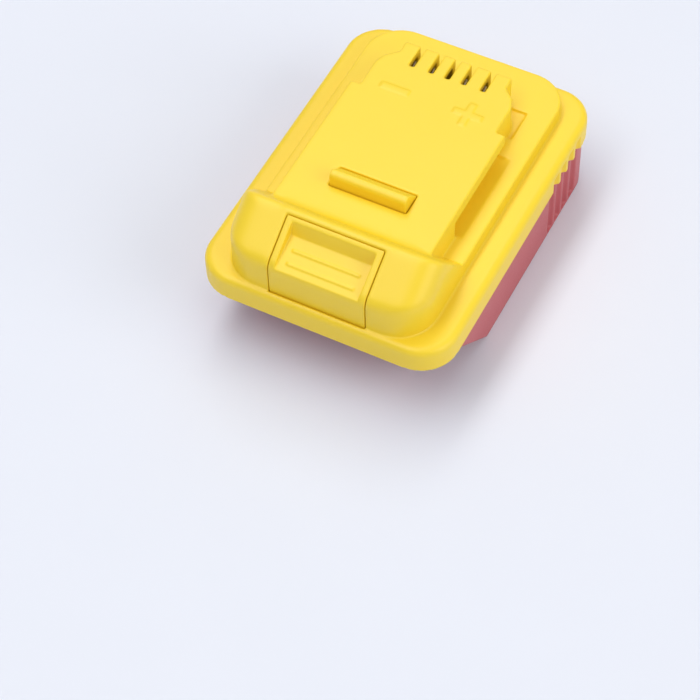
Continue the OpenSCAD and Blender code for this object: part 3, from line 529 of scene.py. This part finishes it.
# Tin plating makes the brass pale and soft in its gloss; its rolling lines are drawn at 0.25 mm so that
# they show.
clip_strip = metal("brass_strip_folded_tinned", "#dcd6c6", "#c7bea8", roughness=0.36, lines=(0.25, 5, 0.25))
for side in ("negative", "sense", "identify", "positive"):
    clip = edged_copy("clip_" + side, "tool_clip_" + side, 0.1*MM)
    fit(clip, [clip_strip], "terminal_brass", "housing", "tool_clip_" + side)


# Latch springs: two coils of drawn spring steel wire. They stand on towers of the lower shell and push the
# latch up; the last turn at each end is closed, so that it lies flat on its seat.

# Radius of the wire, turns, the latch's travel, and the share of a turn that stays closed at each end.
wire_r, coils, travel, closed_end = 0.35, 8.5, 4.6, 0.6
turn_rows, coil_sides = 48, 10
# Drawn wire is bright, with die marks drawn at 0.3 mm so that they show.
spring_wire = metal("spring_steel_drawn_wire", "#b9bcc1", "#9a9da3", roughness=0.28, lines=(0.3, 0.3, 0.3))
wind = np.linspace(0, coils, int(coils*turn_rows) + 1)
# The rise per turn is one wire at each end and grows to the full pitch within a turn; the height is its
# running sum.
opened = np.clip(np.minimum(wind, coils - wind) - closed_end, 0, 1)
rise = np.concatenate([[0], np.cumsum((opened[1:] + opened[:-1])/2*np.diff(wind))])
closed = 2*wire_r*wind
out = np.column_stack([np.cos(2*np.pi*wind), np.sin(2*np.pi*wind), 0*wind])
for side in ("left", "right"):
    low, high, middle = box_of("latch_spring_" + side)
    free = high[2] - low[2]
    height = wire_r + closed + (free - 2*wire_r - closed[-1])*rise/rise[-1]
    coil_r = (high[0] - low[0])/2 - wire_r
    foot = np.array([middle[0], middle[1], low[2]])
    path = (foot + coil_r*out + height[:, None]*np.array([0, 0, 1.0]))*MM
    coil = skin_of("coil_" + side, tube(path, out, wire_r*MM, coil_sides))
    spring = fit(coil, [spring_wire], "spring_steel", "housing", "latch_spring_" + side)
    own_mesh(spring)


# Release latch: button, carrier and hook in one yellow ABS moulding. The button's thumb scoop has two low
# ridges, and the hook's ramp lets the tool slide over it. It is dropped in from below, on the two springs.

# Satin from its grain, as the red shell is; the grain is drawn as coarse as there.
abs_yellow = moulded_plastic("abs_yellow_moulded", "#f8d428", "#fad830", roughness=0.4, grain=0.45)
latch = moulded_skin("latch_moulding", "release_latch", cell=0.2*MM, keep=0.3)
fit(latch, [abs_yellow], "yellow_plastic", "latch", "release_latch")


# Upper shell: the yellow ABS half of the housing, with the rim, the front hump with its opening for the
# button, the block with the rails and terminal slots, and the low minus and plus marks.

def step(value, start, stop):
    """Rises smoothly from 0 at start to 1 at stop."""
    t = np.clip((value - start)/(stop - start), 0, 1)
    return t*t*(3 - 2*t)


# Half the width of the button's opening and where it ends at the back; then where the blend begins and is
# full above the rim, where it fades out before the block, and how far from the opening it begins and is
# full. Between the flanges it runs on over the hump's foot.
opening_half, opening_back = 14.75, -37.95
above_rim, before_block, past_opening = (28.6, 31.0), (-31.5, -29.0), (0.8, 3.0)
between_flanges, over_foot = (17.0, 21.0), 4.0


def hump_share(points):
    """The share of the long run of passes: full on the hump's outer corners and crest, and none on the
    rim below, on the block behind, and within a millimetre of the button's opening."""
    x, y, z = points.T/MM
    beside = np.maximum(abs(x) - opening_half, y - opening_back)
    foot = over_foot*(1 - step(abs(x), *between_flanges))
    return step(z, *above_rim)*(1 - step(y - foot, *before_block))*step(beside, *past_opening)


upper_shell = moulded_skin("upper_shell", "top_shell", cell=0.25*MM, keep=0.17, soft=hump_share,
                           soft_passes=130)
fit(upper_shell, [abs_yellow], "yellow_plastic", "housing", "top_shell")


# Stage: a pale matt floor under the part, an even sky that is brighter overhead, a broad soft lamp above, a
# long one on the left that shines off the top faces, one on the right, and a long lens over the front
# right corner.

# Matt paper, with cloudy patches of about 40 mm that hardly show.
floor_half, cloud = 3, 40*MM
floor_made, tree = blank("floor_paper_pale")
place = add(tree, "ShaderNodeTexCoord", {})
fibre = add(tree, "ShaderNodeTexNoise", {"Vector": (place, "Object"), "Scale": 1/cloud, "Detail": 2.0})
tint = add(tree, "ShaderNodeMix", {0: (fibre, 0), 6: linear("#e4e7ef"), 7: linear("#e6e9f1")},
           data_type="RGBA")
shader = add(tree, "ShaderNodeBsdfPrincipled", {"Base Color": (tint, 2), "Roughness": 0.9})
add(tree, "ShaderNodeOutputMaterial", {"Surface": (shader, 0)})
floor_mesh = bpy.data.meshes.new("floor")
corners = [(x*floor_half, y*floor_half, 0) for x, y in ((-1, -1), (1, -1), (1, 1), (-1, 1))]
floor_mesh.from_pydata(corners, [], [(0, 1, 2, 3)])
floor_mesh.materials.append(floor_made)
put("floor", floor_mesh)

sky = bpy.data.worlds.new("soft_sky")
sky.use_nodes = True
sky.node_tree.nodes.clear()
tree = sky.node_tree
place = add(tree, "ShaderNodeTexCoord", {})
parts = add(tree, "ShaderNodeSeparateXYZ", {"Vector": (place, "Generated")})
level = add(tree, "ShaderNodeMapRange", {"Value": (parts, 2), "From Min": 0.0, "From Max": 0.8,
                                         "To Min": 0.34, "To Max": 0.46}, interpolation_type="SMOOTHSTEP")
glow = add(tree, "ShaderNodeBackground", {"Color": linear("#f6f8ff"), "Strength": (level, 0)})
add(tree, "ShaderNodeOutputWorld", {"Surface": (glow, 0)})
bpy.context.scene.world = sky

# Each lamp: its place and its size in metres, its power in watts, and how many degrees it tilts from
# straight down towards the part.
for name, spot, wide, power, tilt in (("lamp_overhead", (0.0, -0.1, 1.2), (0.8, 2.2), 3.4, 0.0),
                                      ("lamp_left", (-0.39, 0.05, 1.19), (0.4, 2.0), 8.8, 0.0),
                                      ("lamp_right", (1.1, -0.1, 0.62), (0.9, 0.9), 6.0, 60.0)):
    lamp = bpy.data.lights.new(name, "AREA")
    lamp.shape = "RECTANGLE"
    lamp.size, lamp.size_y = wide
    lamp.energy = power
    hung = bpy.data.objects.new(name, lamp)
    hung.location = spot
    hung.rotation_euler = (0, math.radians(tilt), math.atan2(spot[1], spot[0])*(tilt > 0))
    bpy.context.scene.collection.objects.link(hung)

# The sensor in millimetres, and the picture's width and the lens's length in its pixels.
sensor, picture_w, lens_px = 36.0, 700, 2252
lens = bpy.data.cameras.new("long_lens")
lens.sensor_width = sensor
lens.lens = sensor*lens_px/picture_w
lens.clip_start, lens.clip_end = 0.01, 20.0
camera = bpy.data.objects.new("long_lens", lens)
bpy.context.scene.collection.objects.link(camera)
# The lens looks down at a point on the floor from 631 mm away, turned round to the right, and a little
# tipped.
aim, away = (0.00449, -0.04103, 0.0), 0.6312
turned, raised, tipped = (math.radians(angle) for angle in (28.96, 53.35, -2.22))
camera.matrix_world = (Matrix.Translation(aim) @ Matrix.Rotation(turned, 4, "Z")
                       @ Matrix.Rotation(math.pi/2 - raised, 4, "X") @ Matrix.Rotation(tipped, 4, "Z")
                       @ Matrix.Translation((0, 0, away)))
bpy.context.scene.camera = camera
bpy.context.scene.view_settings.view_transform = "Standard"
